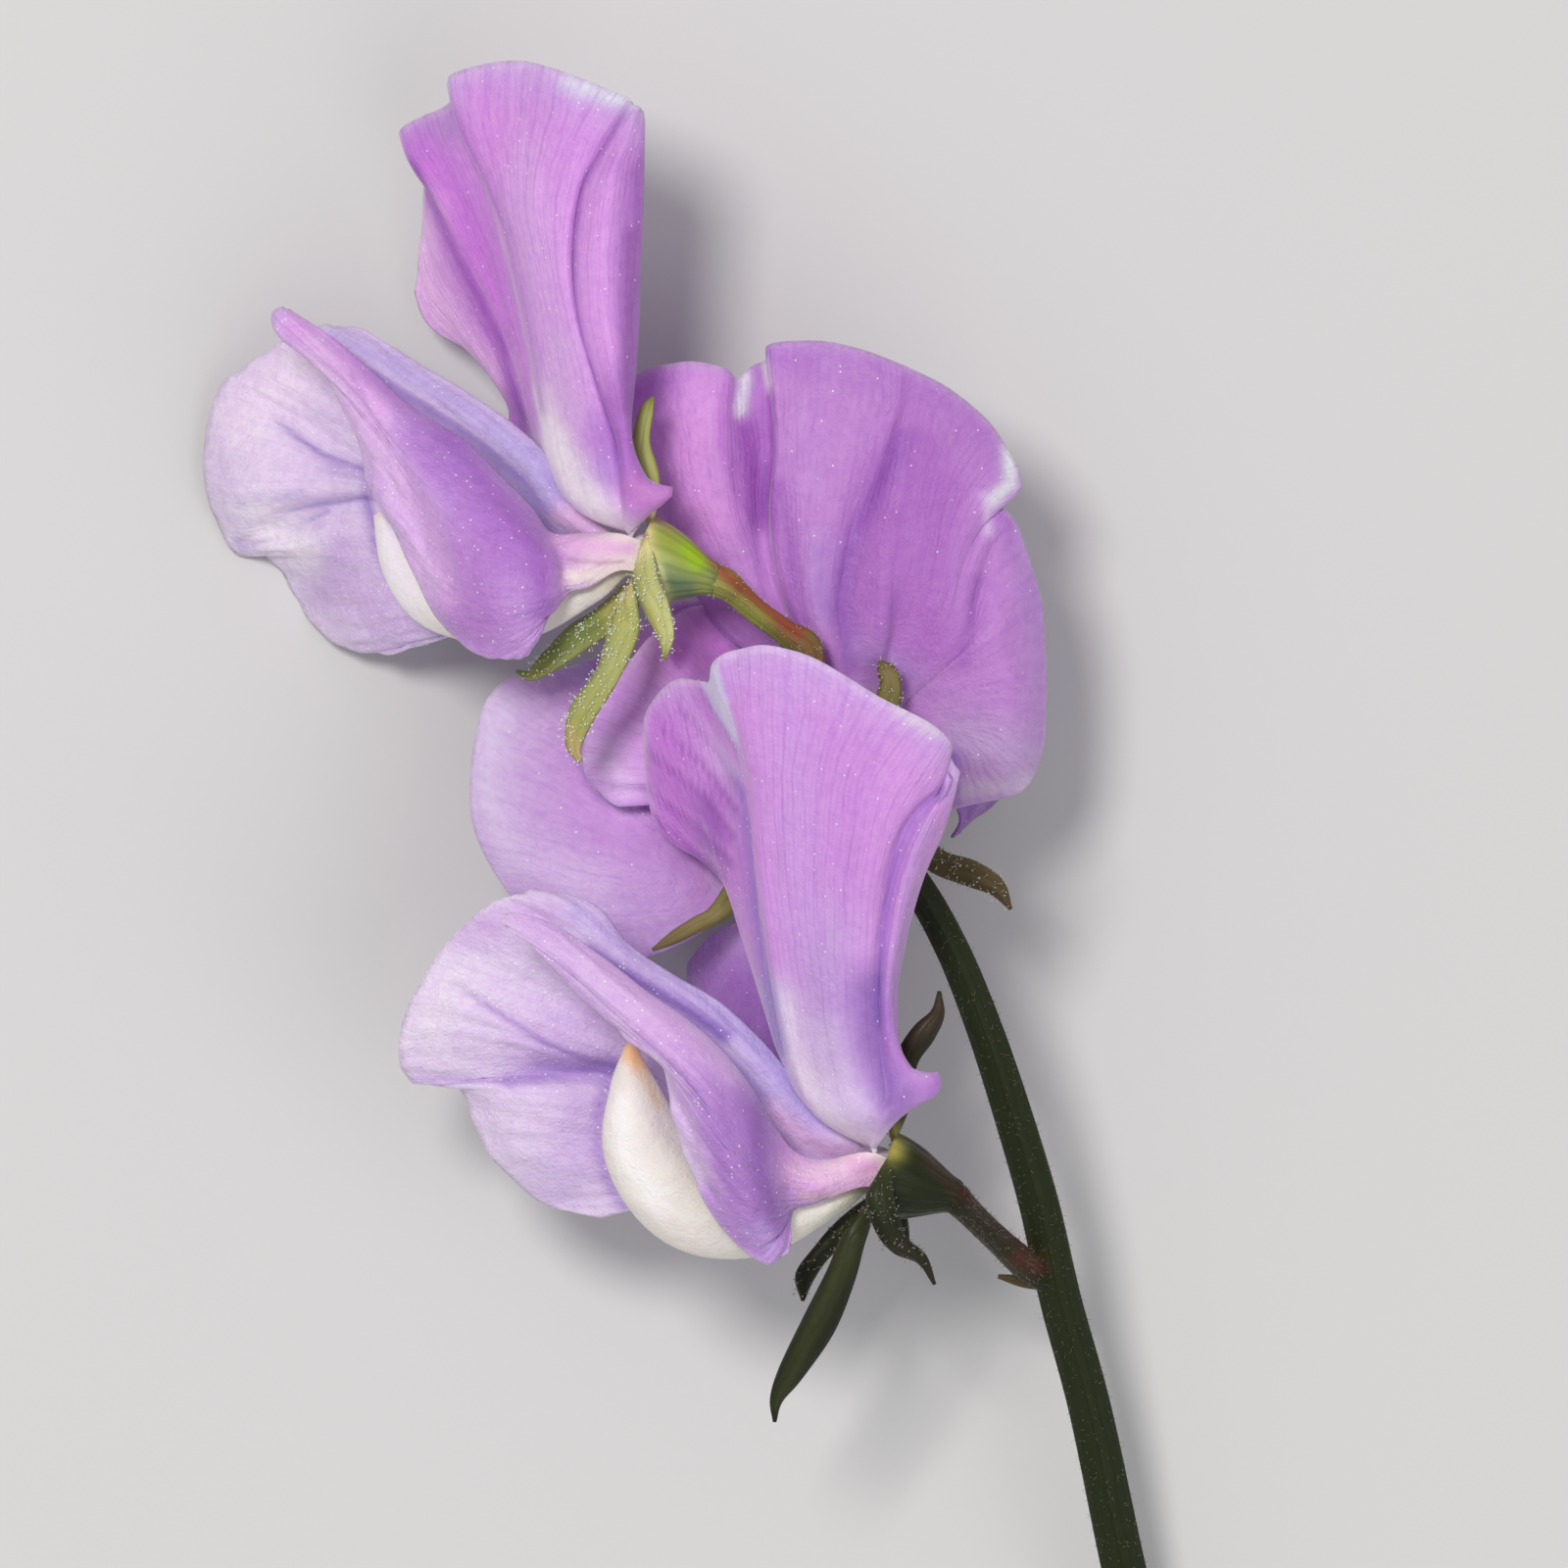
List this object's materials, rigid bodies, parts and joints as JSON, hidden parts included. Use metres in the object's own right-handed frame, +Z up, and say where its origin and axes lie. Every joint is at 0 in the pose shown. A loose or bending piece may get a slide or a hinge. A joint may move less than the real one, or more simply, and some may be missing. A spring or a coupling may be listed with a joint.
{
  "type": "sweet pea flower",
  "caption": "Cut flowering stem of sweet pea, laid down, with open lavender-pink blooms: tall standards, wings round a pale keel, toothed green calyxes on a slim ridged stalk.",
  "frame": {"origin": "on the surface that the flower lies on, under the middle of its bounding box", "axes": "+Y from the cut end of the stem to the tip, +Z up from the surface, +X to the right seen from above"},
  "size_m": [0.067, 0.127, 0.0312],
  "materials": {
    "standard": "soft satin petal, lavender pink",
    "wing": "soft satin petal, pale lavender",
    "keel": "soft satin petal, cream",
    "calyx": "matte, finely hairy, olive green",
    "stem": "matte, ridged, dark green"
  },
  "bodies": {
    "root": {"stem": "stem", "top_calyx": "calyx", "top_standard": "standard", "top_wing_near": "wing", "top_wing_far": "wing", "top_keel": "keel", "front_calyx": "calyx", "front_standard": "standard", "front_wing_near": "wing", "front_wing_far": "wing", "front_keel": "keel", "right_calyx": "calyx", "right_standard": "standard", "right_wing_near": "wing", "right_wing_far": "wing", "right_keel": "keel", "left_calyx": "calyx", "left_standard": "standard", "left_wing_near": "wing", "left_wing_far": "wing", "left_keel": "keel"}
  },
  "joints": []
}
